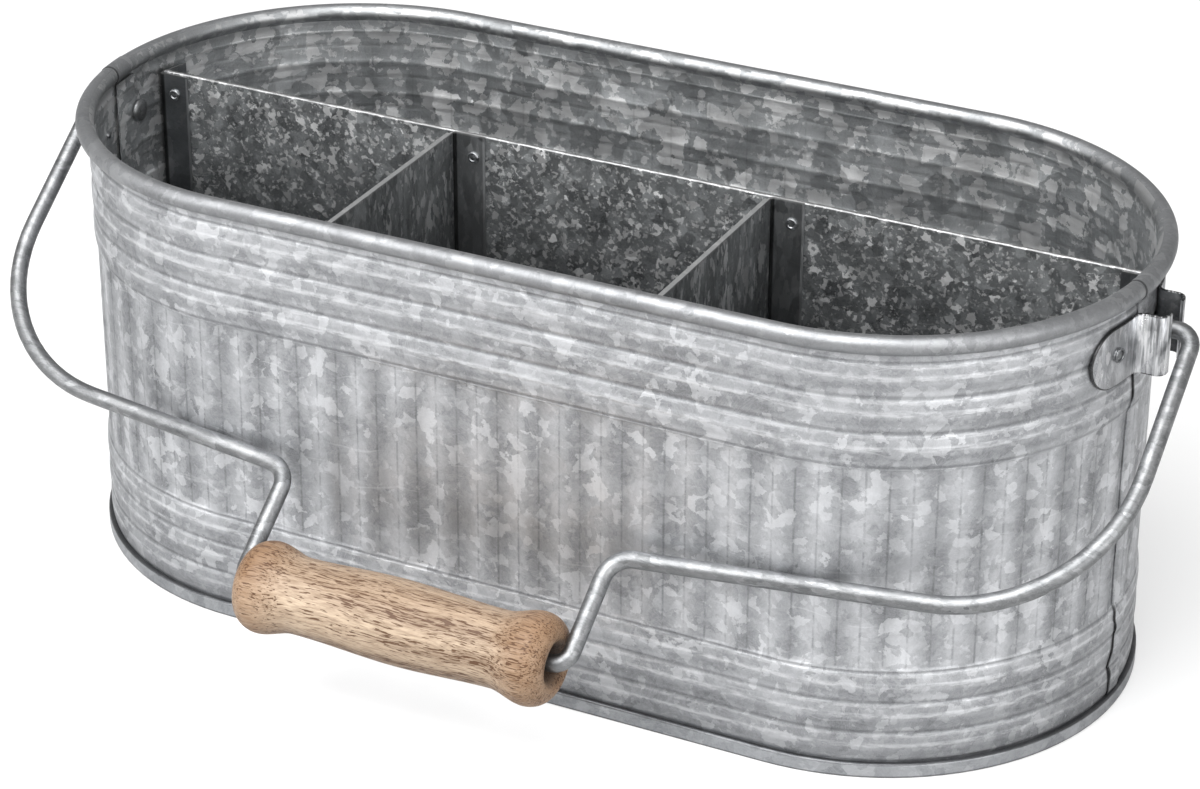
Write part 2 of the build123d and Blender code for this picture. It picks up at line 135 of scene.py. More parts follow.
# painted shade, for the depths of the compartments and the ears' inner faces
DEEP_SHADE_GREY = (0.04, 0.042, 0.045)
# painted highlight on the flanges' free edges
FREE_EDGE_HIGHLIGHT = (0.62, 0.63, 0.64)
WHITE = (1.0, 1.0, 1.0)

# Socket types
NUMBER, VECTOR = "NodeSocketFloat", "NodeSocketVector"
GEOMETRY, MATERIAL, COUNT = "NodeSocketGeometry", "NodeSocketMaterial", "NodeSocketInt"


# Node trees

def sign(operation, swapped=False):
    """Make the method behind a sign, such as the plus between two values."""
    def method(self, other=0.0):
        pair = (other, self) if swapped else (self, other)
        return self.tree.math(operation, *pair)
    return method


class Value:
    """An output of a node, which takes the signs of a sum."""

    def __init__(self, tree, socket):
        self.tree, self.socket = tree, socket

    __add__, __radd__ = sign("ADD"), sign("ADD", True)
    __sub__, __rsub__ = sign("SUBTRACT"), sign("SUBTRACT", True)
    __mul__, __rmul__ = sign("MULTIPLY"), sign("MULTIPLY", True)
    __truediv__, __rtruediv__ = sign("DIVIDE"), sign("DIVIDE", True)
    __gt__, __lt__ = sign("GREATER_THAN"), sign("LESS_THAN")
    __abs__ = sign("ABSOLUTE")


class Tree:
    """A node tree that is filled by short calls."""

    def __init__(self, tree):
        self.tree = tree

    def add(self, kind, values=None, **settings):
        """Add a node with these settings, and set or link its inputs."""
        node = self.tree.nodes.new(kind)
        for name, value in settings.items():
            setattr(node, name, value)
        self.fill(node, values or {})
        return node

    def fill(self, node, values):
        """Set or link inputs of a node by their names or places."""
        for name, value in values.items():
            self.feed(node.inputs[name], value)

    def made(self, kind, values=None, output=0, **settings):
        """Add a node and give one of its outputs."""
        return Value(self, self.add(kind, values, **settings).outputs[output])

    def results(self, node):
        """Give a node's outputs by their names."""
        return {socket.name: Value(self, socket) for socket in node.outputs}

    def placed(self, group, values):
        """Put in a shared group and give its outputs by their names."""
        return self.results(self.add("ShaderNodeGroup", values, node_tree=group))

    def feed(self, socket, value):
        """Link a value to a socket, or set the socket to it, with full alpha for a colour."""
        if isinstance(value, Value):
            self.tree.links.new(value.socket, socket)
        else:
            socket.default_value = (*value, 1) if socket.type == "RGBA" else value

    def math(self, operation, a, b=0.0):
        return self.made("ShaderNodeMath", {0: a, 1: b}, operation=operation)

    def least(self, a, b):
        return self.math("MINIMUM", a, b)

    def most(self, a, b):
        return self.math("MAXIMUM", a, b)

    def vector(self, operation, a, b=(0.0, 0.0, 0.0)):
        return self.made("ShaderNodeVectorMath", {0: a, 1: b}, operation=operation)

    def scaled(self, vector, scale):
        return self.made("ShaderNodeVectorMath", {0: vector, "Scale": scale}, operation="SCALE")

    def between(self, value, low, high):
        """A smooth step from 0 at low to 1 at high."""
        values = {"Value": value, "From Min": low, "From Max": high}
        return self.made("ShaderNodeMapRange", values, interpolation_type="SMOOTHSTEP")

    def rise(self, value, low, high):
        """A smooth step from 0 at the first millimetre to 1 at the second, which may be the lower one."""
        if low > high:
            return 1 - self.between(value, high * MM, low * MM)
        return self.between(value, low * MM, high * MM)

    def near(self, value, place, whole, gone):
        """A mask that is 1 this close to a place and 0 that far away from it."""
        return 1 - self.between(abs(value - place), whole, gone)

    def blend(self, share, a, b):
        """A mix of two colours."""
        return self.made("ShaderNodeMix", {0: share, 6: a, 7: b}, 2, data_type="RGBA", clamp_factor=True)

    def tint(self, colour, mask, strength, shade):
        """Put a shade on a colour where the mask says."""
        return self.blend(mask * strength, colour, shade)

    def noise(self, vector, scale, detail=3.0, roughness=0.5, output="Fac"):
        values = {"Vector": vector, "Scale": scale, "Detail": detail, "Roughness": roughness}
        return self.made("ShaderNodeTexNoise", values, output)

    def split(self, value):
        return self.results(self.add("ShaderNodeSeparateXYZ", {"Vector": value})).values()

    def join(self, x, y, z):
        return self.made("ShaderNodeCombineXYZ", {0: x, 1: y, 2: z})

    def painted(self, name):
        """Read one of the wall's own attributes in a material."""
        return self.made("ShaderNodeAttribute", output="Fac", attribute_name=name)

    def named(self, name, kind="FLOAT"):
        """Read an attribute in a geometry tree."""
        return self.made("GeometryNodeInputNamedAttribute", {"Name": name}, data_type=kind)

    def coated(self, shape, material):
        """End a geometry tree: make its instances real and give them their material."""
        joined = self.made("GeometryNodeRealizeInstances", {"Geometry": shape})
        return self.made("GeometryNodeSetMaterial", {"Geometry": joined, "Material": material})


def new_group(name, kind, inputs, outputs):
    """Start a node group. An input is a socket type, or the first value of a number or a count."""
    tree = bpy.data.node_groups.new(name, kind)
    for title, value in inputs.items():
        socket = value if isinstance(value, str) else COUNT if isinstance(value, int) else NUMBER
        made = tree.interface.new_socket(title, in_out="INPUT", socket_type=socket)
        if socket != value:
            made.default_value = value
    for title, socket in outputs.items():
        tree.interface.new_socket(title, in_out="OUTPUT", socket_type=socket)
    graph = Tree(tree)
    graph.inside = graph.results(tree.nodes.new("NodeGroupInput"))
    graph.result = tree.nodes.new("NodeGroupOutput").inputs
    return graph


def put_out(graph, **values):
    """Link a group's results to its outputs and give the finished group."""
    for title, value in values.items():
        graph.feed(graph.result[title], value)
    return graph.tree


def make_spangle_group():
    """Zinc crystals: ragged patches, each with its own tone, tilt and fine hatching."""
    inputs = {
        "Vector": VECTOR,
        "Crystal Size": 0.012,
        "Raggedness": 1.0,
        "Tilt": 0.1,
        "Relief": 0.25,
        "Flake Share": 0.12,
    }
    outputs = {"Patch": NUMBER, "Flake": NUMBER, "Hatching": NUMBER, "Cloud": NUMBER, "Normal": VECTOR}
    g = new_group("zinc_spangle", "ShaderNodeTree", inputs, outputs)
    middle = (0.5, 0.5, 0.5)
    place = g.scaled(g.inside["Vector"], 1.0 / g.inside["Crystal Size"])
    warp = g.vector("SUBTRACT", g.noise(place, 1.1, detail=7.0, roughness=0.68, output="Color"), middle)
    ragged = g.vector("ADD", place, g.scaled(warp, g.inside["Raggedness"]))

    def crystals(scale):
        return g.made("ShaderNodeTexVoronoi", {"Vector": ragged, "Scale": scale}, "Color")

    large = crystals(1.0)
    tone, pick, spin = g.split(large)
    small_tone, small_pick, _ = g.split(crystals(2.2))
    fine_tone, fine_pick, _ = g.split(crystals(5.0))
    grit = g.noise(place, 16.0, detail=2.0) - 0.5
    patch = tone * 0.42 + small_tone * 0.36
    patch = patch + fine_tone * 0.22 + grit * 0.45
    limit = 1 - g.inside["Flake Share"]
    above = limit + 0.02
    big_flake = g.between(pick, limit, above) * g.between(small_tone, 0.3, 0.34)
    small_flake = g.between(small_pick, limit, above) * 0.85
    fine_flake = g.between(fine_pick, limit + 0.05, above + 0.05) * 0.6
    flake = g.most(big_flake, g.most(small_flake, fine_flake))
    axis = g.vector("SUBTRACT", large, (0.5, 0.5, 0.4))
    values = {"Vector": place, "Axis": axis, "Angle": spin * 6.0}
    turned = g.made("ShaderNodeVectorRotate", values, rotation_type="AXIS_ANGLE")
    combed = g.vector("MULTIPLY", turned, (1.2, 14.0, 4.0))
    hatching = g.between(g.noise(combed, 1.6, detail=4.0, roughness=0.6), 0.3, 0.72)
    cloud = g.between(g.noise(place, 0.35, roughness=0.55), 0.3, 0.7)
    height = patch * 0.6 + hatching * 0.5
    relief = {"Height": height, "Strength": g.inside["Relief"], "Distance": 0.2 * MM}
    tilt = g.scaled(g.vector("SUBTRACT", large, middle), g.inside["Tilt"])
    normal = g.vector("NORMALIZE", g.vector("ADD", g.made("ShaderNodeBump", relief), tilt))
    return put_out(g, Patch=patch, Flake=flake, Hatching=hatching, Cloud=cloud, Normal=normal)


def make_scuff_group():
    """Handling marks: thin pale scratches and dull smudges."""
    inputs = {"Vector": VECTOR, "Mark Length": 0.02, "Amount": 0.5}
    g = new_group("handling_scuffs", "ShaderNodeTree", inputs, {"Scratch": NUMBER, "Smudge": NUMBER})
    place = g.scaled(g.inside["Vector"], 1.0 / g.inside["Mark Length"])
    leaning = g.vector("ADD", place, g.scaled(g.noise(place, 0.8, detail=2.0, output="Color"), 0.6))
    lines = g.noise(g.vector("MULTIPLY", leaning, (1.0, 1.0, 26.0)), 1.0, detail=2.0)
    smudge = g.between(g.noise(place, 1.1, detail=5.0, roughness=0.7), 0.45, 0.7)
    amount = g.inside["Amount"]
    return put_out(g, Scratch=g.between(lines, 0.66, 0.74) * amount, Smudge=smudge * amount)


def make_grain_group():
    """Open-pored hardwood cut along X: broad figure, fine fibres and short dark pores."""
    inputs = {"Vector": VECTOR, "Pore Length": 0.004}
    outputs = {"Figure": NUMBER, "Fibre": NUMBER, "Pores": NUMBER}
    g = new_group("hardwood_grain", "ShaderNodeTree", inputs, outputs)
    place = g.inside["Vector"]

    def drawn_out(along, across, detail, roughness=0.5, output="Fac"):
        stretched = g.vector("MULTIPLY", place, g.join(along, across, across))
        return g.noise(stretched, 1.0, detail, roughness, output)

    sway = g.vector("SUBTRACT", drawn_out(18.0, 40.0, 2.0, output="Color"), (0.5, 0.5, 0.5))
    place = g.vector("ADD", place, g.vector("MULTIPLY", sway, (0.0, 0.006, 0.006)))
    figure = drawn_out(9.0, 150.0, 4.0, 0.6)
    fibre = drawn_out(150.0, 1500.0, 3.0, 0.7)
    pore = drawn_out(1.0 / g.inside["Pore Length"], 2200.0, 1.5)
    limit = 0.615 - g.between(figure, 0.36, 0.62) * 0.1
    pores = g.between(pore, limit, limit + 0.05)
    return put_out(g, Figure=g.between(figure, 0.3, 0.72), Fibre=g.between(fibre, 0.3, 0.7), Pores=pores)


def make_press_shading_group():
    """Painted light and shade of the press: painted shade in the grooves and on the beads' lower slopes,
    painted highlights broken into dashes on the beads, painted light and shade on the rib flanks and painted
    shade along the rib edges, with the beads' height for a bump.
    """
    inputs = {"Vector": VECTOR, "Along": 0.0, "Ribbed": 0.0, "Rib Top": OUTER_RIB_TOP}
    outputs = {"Groove": NUMBER, "Glint": NUMBER, "Flank": NUMBER, "Height": NUMBER}
    g = new_group("press_light_and_shade", "ShaderNodeTree", inputs, outputs)
    along = g.inside["Along"]
    _, _, z = g.split(g.scaled(g.inside["Vector"], 1 / MM))
    broken = g.noise(g.join(along, 0.0, z * 0.004), 110.0, detail=4.0, roughness=0.65)
    shaky = z + (broken - 0.5) * 0.7
    groove_shade, glint, height = 0.0, 0.0, 0.0
    for foot, pitch in ((UPPER_FOOT, UPPER_PITCH), (LOWER_FOOT, LOWER_PITCH)):
        step = (shaky - foot) / pitch
        inside = g.between(step, -0.06, 0.0) * (1 - g.between(step, BEADS, BEADS + 0.06))
        part = g.math("FRACT", step)
        # painted shade along the foot of each bead, which also sinks the bump there
        notch = 1 - g.between(0.5 - abs(part - 0.5), 0.01, 0.1)
        # painted highlight along each bead's crest and, weaker, along its lip
        crest = g.near(part, 0.56, 0.02, 0.11)
        lip = g.near(part, 0.88, 0.01, 0.07)
        # painted shade on each bead's lower slope, which faces away from the light
        lower_slope_shade = g.near(part, 0.3, 0.03, 0.16)
        groove_shade = groove_shade + g.most(notch, lower_slope_shade * 0.55) * inside
        glint = glint + g.most(crest, lip * 0.7) * inside
        height = height + (crest * 0.6 - notch) * inside
    # dashes that break up the painted shade and the painted highlights
    dashes = g.between(broken, 0.38, 0.62)
    ragged_place = g.join(along / MM, 0.0, z * 0.7)
    ragged = g.noise(ragged_place, 0.22, detail=4.0, roughness=0.75) - 0.5
    distance = abs(along)
    past = g.most(distance - END_CENTRE * MM, 0.0)
    steps = g.least(distance, END_CENTRE * MM) / (SIDE_RIB * MM)
    steps = (steps + past / (TURN_RIB * MM)) * g.math("SIGN", along)
    # painted light on the rib flanks that face the left lamp, painted shade on the others
    wave = g.math("SINE", (steps + ragged * 0.9) * -pi)
    straight = steps + ragged * 0.08
    # painted shade along each rib's edges
    edge = 1 - g.between(abs(g.math("COSINE", straight * pi)), 0.02, 0.25)
    edge = edge * g.between(ragged, -0.15, 0.1)
    below = g.inside["Rib Top"] - z
    zone = g.between(z, *RIB_SHADING_FOOT) * g.between(below, -1.0, 1.0)
    flank_lighting = (wave * 0.45 - edge * 0.75) * zone * g.inside["Ribbed"]
    groove_shade = groove_shade * (1 - dashes * 0.45)
    return put_out(g, Groove=groove_shade, Glint=glint * dashes, Flank=flank_lighting, Height=height)


SPANGLE = make_spangle_group()
PRESS_SHADING = make_press_shading_group()
SCUFFS = make_scuff_group()
GRAIN = make_grain_group()


# Materials

def new_material(name):
    """Start a material and give its tree, its shader and its object coordinates."""
    material = bpy.data.materials.new(name)
    material.use_nodes = True
    tree = Tree(material.node_tree)
    shader = material.node_tree.nodes["Principled BSDF"]
    place = tree.made("ShaderNodeTexCoord", output="Object")
    return material, tree, shader, place


def galvanize(
    name, dark, pale, flake, *, crystal, ragged, tilt, rough,
    flakes=0.5, share=0.12, stretch=(1, 1, 1), marks=None,
):
    """Zinc-coated metal, from its darkest patches to its bright flakes, with crystals of this size in mm."""
    material, t, shader, place = new_material(name)
    stretched = t.made("ShaderNodeMapping", {"Vector": place, "Scale": stretch})
    look = {"Crystal Size": crystal * MM, "Raggedness": ragged, "Tilt": tilt, "Flake Share": share}
    zinc = t.placed(SPANGLE, {"Vector": stretched, **look})
    scuffs = t.placed(SCUFFS, {"Vector": place, "Mark Length": 30 * MM})
    colour = t.blend(zinc["Patch"] * 0.7 + zinc["Cloud"] * 0.3, dark, pale)
    colour = t.tint(colour, zinc["Hatching"], 0.3, pale)
    colour = t.tint(colour, zinc["Flake"], flakes, flake)
    colour = t.tint(colour, scuffs["Smudge"], 0.3, dark)
    colour = t.tint(colour, scuffs["Scratch"], 0.4, flake)
    roughness = rough - zinc["Patch"] * 0.16
    normal = zinc["Normal"]
    # a finish adds its marks and its painted light and shade
    if marks is not None:
        colour, roughness, normal = marks(t, place, colour, roughness, normal)
    t.fill(shader, {"Base Color": colour, "Roughness": roughness, "Normal": normal, "Metallic": 1.0})
    return material


def pressed(dark, bright, depth, strength=1.0, rib_top=OUTER_RIB_TOP):
    """Give a wall painted shade in its grooves, painted highlights on its beads, painted light and shade on
    its rib flanks, a duller rim, a painted shadow in its open seam and a darker tone towards its foot.
    """
    def finish(t, place, colour, roughness, normal):
        where = {"Vector": place, "Along": t.painted("along"), "Ribbed": t.painted("ribbed")}
        marks = t.placed(PRESS_SHADING, {"Rib Top": rib_top, **where})
        # painted shade in the grooves and on the beads' lower slopes
        colour = t.tint(colour, marks["Groove"], 0.42 * strength, dark)
        # painted highlights on the bead crests, broken into dashes
        colour = t.tint(colour, marks["Glint"], 0.52 * strength, bright)
        # painted light and painted shade on the rib flanks
        flank_lighting = marks["Flank"] * 0.45 * strength
        colour = t.blend(t.most(flank_lighting, 0.0), colour, bright)
        colour = t.blend(t.most(flank_lighting * -1.0, 0.0), colour, dark)
        _, _, z = t.split(place)
        rim = t.rise(z, *DULL_RIM_HEIGHTS)
        colour = t.tint(colour, rim, 0.65, DULL_GREY)
        # painted shadow in the open seam: low down, below the ear and up by the rim's collar
        under_ear = t.rise(z, *SEAM_BELOW_EAR) * t.rise(z, *SEAM_BEHIND_EAR)
        open_seam = t.most(t.rise(z, *OPEN_SEAM_HEIGHTS), under_ear)
        seam_shadow = t.between(t.painted("cut"), 0.3, 0.5) * t.most(rim * 0.7, open_seam)
        colour = t.tint(colour, seam_shadow, 0.92, SEAM_SHADOW_BLACK)
        # a darker tone towards the foot
        colour = t.tint(colour, t.rise(z, *DARKER_FOOT_HEIGHTS), 0.3, dark)
        roughness = roughness - marks["Glint"] * 0.1
        relief = {"Height": marks["Height"], "Strength": 1.0, "Distance": depth * MM, "Normal": normal}
        return colour, roughness, t.made("ShaderNodeBump", relief)
    return finish


def hemmed(top, folds=(), flange_width=0.0, flange=None, painted_top_edge_tone=0.3):
    """Give a divider a painted tone along its top edge for the light it catches and painted shade lower down,
    and each flange its dark face, a painted shadow in its fold and a painted highlight on its free edge.

    The folds are X places, and the flange's faces lie between two Y planes.
    """
    def finish(t, place, colour, roughness, normal):
        x, y, z = t.split(place)
        within = 1.0
        if flange:
            low, high = flange
            within = (y > low * MM) * (y < high * MM)
            colour = t.tint(colour, within, 0.8, DULL_GREY)
        for at in folds:
            # painted shadow in each flange's fold
            fold_shadow = 0.9 - t.rise(abs(x - at * MM), 0.4, 1.3)
            colour = t.tint(colour, fold_shadow, within, FOLD_SHADOW_BLACK)
            # painted highlight along each flange's free edge
            edge = abs(x - (at + flange_width) * MM)
            colour = t.tint(colour, t.rise(edge, 0.7, 0.3), 0.6, FREE_EDGE_HIGHLIGHT)
        # painted shade lower down in the compartments
        colour = t.tint(colour, t.rise(z, top - 8.0, top - 65.0), 0.45, DEEP_SHADE_GREY)
        # a tone painted on the top edge for the light it catches: a painted highlight when pale, painted
        # shade when dark
        colour = t.tint(colour, t.rise(z, top - 0.9, top - 0.1), 0.8, (painted_top_edge_tone,) * 3)
        return colour, roughness, normal
    return finish


def outlined_ear(t, place, colour, roughness, normal):
    """Paint shade along the cut edge all round an ear, where it stands off the wall, and streaks of painted
    highlight and painted shade along its bends.
    """
    _, y, z = t.split(place)
    rim = EAR_HEIGHT / 2
    past = t.most(abs(y) - (EAR_REACH - rim) * MM, 0.0)
    up = z - EAR_MIDDLE_Z * MM
    radius = t.math("SQRT", past * past + up * up)
    # painted shade in the gap all round the ear's edge
    colour = t.tint(colour, t.rise(radius, rim - 0.6, rim - 0.3), 0.9, EDGE_SHADOW_BLACK)
    # streaks of painted highlight and painted shade along the ear's bends
    streak = t.noise(t.vector("MULTIPLY", place, (900.0, 900.0, 60.0)), 1.0)
    bent = t.rise(abs(y), 15.0, 12.5)
    colour = t.tint(colour, t.between(streak, 0.5, 0.62) * bent, 0.7, (0.96, 0.97, 0.98))
    # the darker streaks are painted shade
    dull = (1 - t.between(streak, 0.36, 0.46)) * bent
    return t.tint(colour, dull, 0.6, (0.08, 0.08, 0.085)), roughness, normal


def seamed_edge(t, place, colour, roughness, normal):
    """Paint shade in the line where the foot closes on the wall, and a painted contact shadow along the
    ground line.
    """
    _, _, z = t.split(place)
    # painted shade in the foot's seam and a painted contact shadow at the ground
    lines = t.most(t.rise(z, 4.7, 5.2), t.rise(z, 1.2, 0.4))
    return t.tint(colour, lines, 0.75, (0.04, 0.04, 0.042)), roughness, normal


OUTER = galvanize(
    "galvanized_outside", (0.20, 0.205, 0.215), (0.60, 0.61, 0.63), (0.88, 0.89, 0.91),
    crystal=8.5, ragged=0.95, tilt=0.08, rough=0.6, flakes=0.4,
    marks=pressed((0.09, 0.095, 0.10), (0.90, 0.91, 0.93), 0.18),
)
INNER = galvanize(
    "galvanized_inside", (0.20, 0.21, 0.22), (0.66, 0.68, 0.69), WHITE,
    crystal=10.0, ragged=1.0, tilt=0.18, rough=0.56, flakes=0.9, share=0.19,
    marks=pressed((0.12, 0.125, 0.13), (0.9, 0.91, 0.92), -0.06, strength=0.55, rib_top=INNER_RIB_TOP),
)
PANEL = galvanize(
    "divider_sheet", (0.03, 0.033, 0.036), (0.60, 0.62, 0.63), WHITE,
    crystal=3.7, ragged=1.1, tilt=0.24, rough=0.55, flakes=0.95, share=0.14, marks=hemmed(DIVIDER_TOP),
)
CROSS = galvanize(
    "cross_divider_sheet", (0.05, 0.054, 0.058), (0.62, 0.64, 0.65), WHITE,
    crystal=3.7, ragged=1.1, tilt=0.2, rough=0.5, flakes=0.7, stretch=(1, 1, 0.4),
    marks=hemmed(DIVIDER_TOP, CROSS_FOLDS, CROSS_FLANGE_WIDTH, CROSS_FLANGE, painted_top_edge_tone=0.62),
)
ANGLE = galvanize(
    "end_angle_sheet", (0.12, 0.13, 0.14), (0.30, 0.31, 0.32), (0.5, 0.51, 0.52),
    crystal=20.0, ragged=0.8, tilt=0.05, rough=0.45, flakes=0.3,
    marks=hemmed(ANGLE_TOP, [ANGLE_FOLD], ANGLE_FLANGE_WIDTH),
)
FOOT = galvanize(
    "seamed_foot", (0.20, 0.21, 0.22), (0.50, 0.51, 0.53), (0.75, 0.76, 0.77),
    crystal=10.0, ragged=1.0, tilt=0.08, rough=0.5, flakes=0.2, marks=seamed_edge,
)
EAR = galvanize(
    "ear_strap", (0.20, 0.205, 0.215), (0.62, 0.63, 0.65), (0.95, 0.95, 0.96),
    crystal=3.2, ragged=0.8, tilt=0.16, rough=0.4, flakes=0.4, stretch=(1, 1, 0.3), marks=outlined_ear,
)
# painted shade: a dark copy of the ear's zinc for its inner faces, which lie in shade
SHADED_EAR = galvanize(
    "shaded_ear_strap", DEEP_SHADE_GREY, (0.16, 0.165, 0.17), (0.3, 0.3, 0.3),
    crystal=4.0, ragged=0.8, tilt=0.08, rough=0.6, flakes=0.2,
)
WIRE = galvanize(
    "drawn_wire", (0.10, 0.105, 0.11), (0.34, 0.345, 0.35), (0.55, 0.56, 0.57),
    crystal=4.0, ragged=0.8, tilt=0.07, rough=0.52, flakes=0.25, stretch=(0.4, 1, 1),
)
RIVET = galvanize(
    "rivet_metal", (0.08, 0.085, 0.09), (0.4, 0.41, 0.42), (0.8, 0.81, 0.83),
    crystal=3.0, ragged=0.8, tilt=0.08, rough=0.42,
)


def make_grip_wood():
    """Oiled hardwood, browner at both knobs, with a brown painted shade along its top and underneath, and
    painted shade in its hollow ends.
    """
    material, t, shader, place = new_material("turned_hardwood")
    to_middle = [-value * MM for value in GRIP_MIDDLE]
    centred = t.made("ShaderNodeMapping", {"Vector": place, "Location": to_middle})
    grain = t.placed(GRAIN, {"Vector": centred, "Pore Length": 5.5 * MM})
    pale, brown = (0.525, 0.415, 0.305), (0.11, 0.062, 0.033)
    colour = t.blend(grain["Figure"] * 0.5 + grain["Fibre"] * 0.42, pale, brown)
    x, y, z = t.split(centred)
    from_middle = abs(x)
    # painted shade, brown, along the grip's upper outline
    colour = t.tint(colour, t.rise(z, 4.0, 14.0), 0.4, (0.20, 0.12, 0.065))
    colour = t.tint(colour, t.rise(from_middle, 34.0, 54.0), 0.55, (0.21, 0.105, 0.045))
    # painted shade underneath the grip
    colour = t.tint(colour, t.rise(z, 6.0, -14.0), 0.3, (0.26, 0.15, 0.08))
    colour = t.tint(colour, grain["Pores"], 0.9, (0.075, 0.030, 0.010))
    radius = t.math("SQRT", y * y + z * z)
    # painted shade inside the hollow ends
    hollow = (from_middle > 52.0 * MM) * t.rise(radius, HOLLOW_EDGE_RADIUS, 5.5)
    colour = t.tint(colour, hollow, 0.85, (0.03, 0.017, 0.01))
    height = grain["Fibre"] * 0.5 - grain["Pores"]
    relief = {"Height": height, "Strength": 0.45, "Distance": 0.4 * MM}
    t.fill(shader, {
        "Base Color": colour,
        "Roughness": 0.4 + grain["Fibre"] * 0.25,
        "Normal": t.made("ShaderNodeBump", relief),
        "Specular IOR Level": 0.3,
        "Coat Weight": 0.12,
        "Coat Roughness": 0.28,
    })
    return material


WOOD = make_grip_wood()


# Mesh helpers

def new_object(name, data):
    made = bpy.data.objects.new(name, data)
    bpy.context.scene.collection.objects.link(made)
    return made


def finish_piece(piece, body, slot, *nodes):
    """Let a finished piece ride on its body, in the place of these nodes of the frame."""
    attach(piece, body)
    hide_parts(*nodes)


def run_nodes(piece, group, values):
    """Run a geometry tree on a piece with these named inputs and keep the result as a plain mesh."""
    modifier = piece.modifiers.new(group.name, "NODES")
    modifier.node_group = group
    for title, value in values.items():
        modifier[group.interface.items_tree[title].identifier] = value
    shown = piece.evaluated_get(bpy.context.evaluated_depsgraph_get())
    mesh = bpy.data.meshes.new_from_object(shown)
    piece.modifiers.remove(modifier)
    piece.data = mesh
    return piece


def closed_mesh(name, points, faces):
    """Make a mesh and turn all its faces outwards."""
    mesh = bpy.data.meshes.new(name)
    mesh.from_pydata(points, [], faces)
    made = bmesh.new()
    made.from_mesh(mesh)
    bmesh.ops.recalc_face_normals(made, faces=made.faces)
    made.to_mesh(mesh)
    made.free()
    return mesh


def skin(name, rings, materials, closed=False):
    """Join rings of points, in millimetres, and close both ends unless the last ring meets the first."""
    count = len(rings[0])
    points = [Vector(point) * MM for ring in rings for point in ring]
    faces = []
    for first in range(0, len(points) - (0 if closed else count), count):
        second = (first + count) % len(points)
        for step in range(count):
            ahead = (step + 1) % count
            faces.append((first + step, first + ahead, second + ahead, second + step))
    if not closed:
        faces += [range(count), range(len(points) - count, len(points))]
    mesh = closed_mesh(name, points, faces)
    for material in materials:
        mesh.materials.append(material)
    return new_object(name, mesh)


def smooth(piece, degrees=180):
    """Shade a piece smooth, apart from edges sharper than this angle."""
    piece.data.shade_smooth()
    piece.data.set_sharp_from_angle(angle=radians(degrees))


def lathe(name, profile, axis_at, material, steps, wobble=None):
    """Turn a profile of (along, radius) points about a line along X, to a ring where the profile closes."""
    rings = []
    closed = profile[0] == profile[-1]
    for along, radius in profile[:-1] if closed else profile:
        ring = []
        for step in range(steps):
            turn = 2 * pi * step / steps
            r = radius + (wobble(along, turn) if wobble else 0)
            ring.append(Vector((along, r * cos(turn), r * sin(turn))) + Vector(axis_at))
        rings.append(ring)
    piece = skin(name, rings, [material], closed)
    smooth(piece)
    return piece


# The wall: a flat blank that is pressed with beads and ribs and then rolled round the tub

def make_roller():
    """Press beads and ribs into a flat blank, and roll it.

    The blank's X is its length, its Y the thickness and its Z the height.
    """
    inputs = {
        "Blank": GEOMETRY,
        "Straight Half": END_CENTRE * MM,
        "Roll Radius": WALL_RADIUS * MM,
        "Bead Height": BEAD_HEIGHT * MM,
        "Bead Count": BEADS,
        "Upper Foot": UPPER_FOOT * MM,
        "Upper Pitch": UPPER_PITCH * MM,
        "Lower Foot": LOWER_FOOT * MM,
        "Lower Pitch": LOWER_PITCH * MM,
        "Side Rib": SIDE_RIB * MM,
        "Turn Rib": TURN_RIB * MM,
        "Rib Depth": RIB_DEPTH * MM,
        "Rib Inset": RIB_INSET * MM,
        "Rib End": RIB_END * MM,
        "Dent Depth": 0.2 * MM,
        "Seed": 3.0,
        "Half Turn": 0.0,
        "Outside": MATERIAL,
        "Inside": MATERIAL,
    }
    g = new_group("press_and_roll", "GeometryNodeTree", inputs, {"Wall": GEOMETRY})
    given = g.inside
    along, out, z = g.split(g.made("GeometryNodeInputPosition"))
    ribbed, beaded, inner = g.named("ribbed"), g.named("beaded"), g.named("inner")

    def beads(foot, pitch):
        step = (z - foot) / pitch
        part = g.math("FRACT", step)
        within = (step > 0.0) * (step < given["Bead Count"])
        swell = part * (1 - part) * 4.0
        return g.math("POWER", swell, 0.85) * within

    upper = beads(given["Upper Foot"], given["Upper Pitch"])
    lower = beads(given["Lower Foot"], given["Lower Pitch"])
    raised = (upper + lower) * beaded * given["Bead Height"]

    distance = abs(along)
    straight = g.least(distance, given["Straight Half"])
    past = g.most(distance - given["Straight Half"], 0.0)
    steps = straight / given["Side Rib"] + past / given["Turn Rib"]
    crest = g.math("POWER", g.most(g.math("COSINE", steps * pi), 0.0), 0.8)
    foot = given["Lower Foot"] + given["Lower Pitch"] * given["Bead Count"]
    starts = g.between(z, foot, foot + given["Rib End"])
    ends = g.between(z, given["Upper Foot"], given["Upper Foot"] - given["Rib End"])
    zone = starts * ends * ribbed
    sunk = given["Rib Inset"] + given["Rib Depth"] * (1 - crest)
    dent = g.noise(g.join(along, given["Seed"], z), 28.0, detail=2.0) - 0.5
    dent = dent * given["Dent Depth"] * beaded
    reach = out + raised - zone * sunk + dent

    angle = past / given["Roll Radius"]
    radius = given["Roll Radius"] + reach
    x = (straight + radius * g.math("SINE", angle)) * g.math("SIGN", along)
    y = radius * g.math("COSINE", angle) * -1.0
    moved = g.made("GeometryNodeSetPosition", {"Geometry": given["Blank"], "Position": g.join(x, y, z)})
    half_turn = g.join(0.0, 0.0, given["Half Turn"])
    turned = g.made("GeometryNodeTransform", {"Geometry": moved, "Rotation": half_turn})
    values = {
        "Geometry": g.coated(turned, given["Outside"]),
        "Material": given["Inside"],
        "Selection": inner > 0.5,
    }
    return put_out(g, Wall=g.made("GeometryNodeSetMaterial", values))


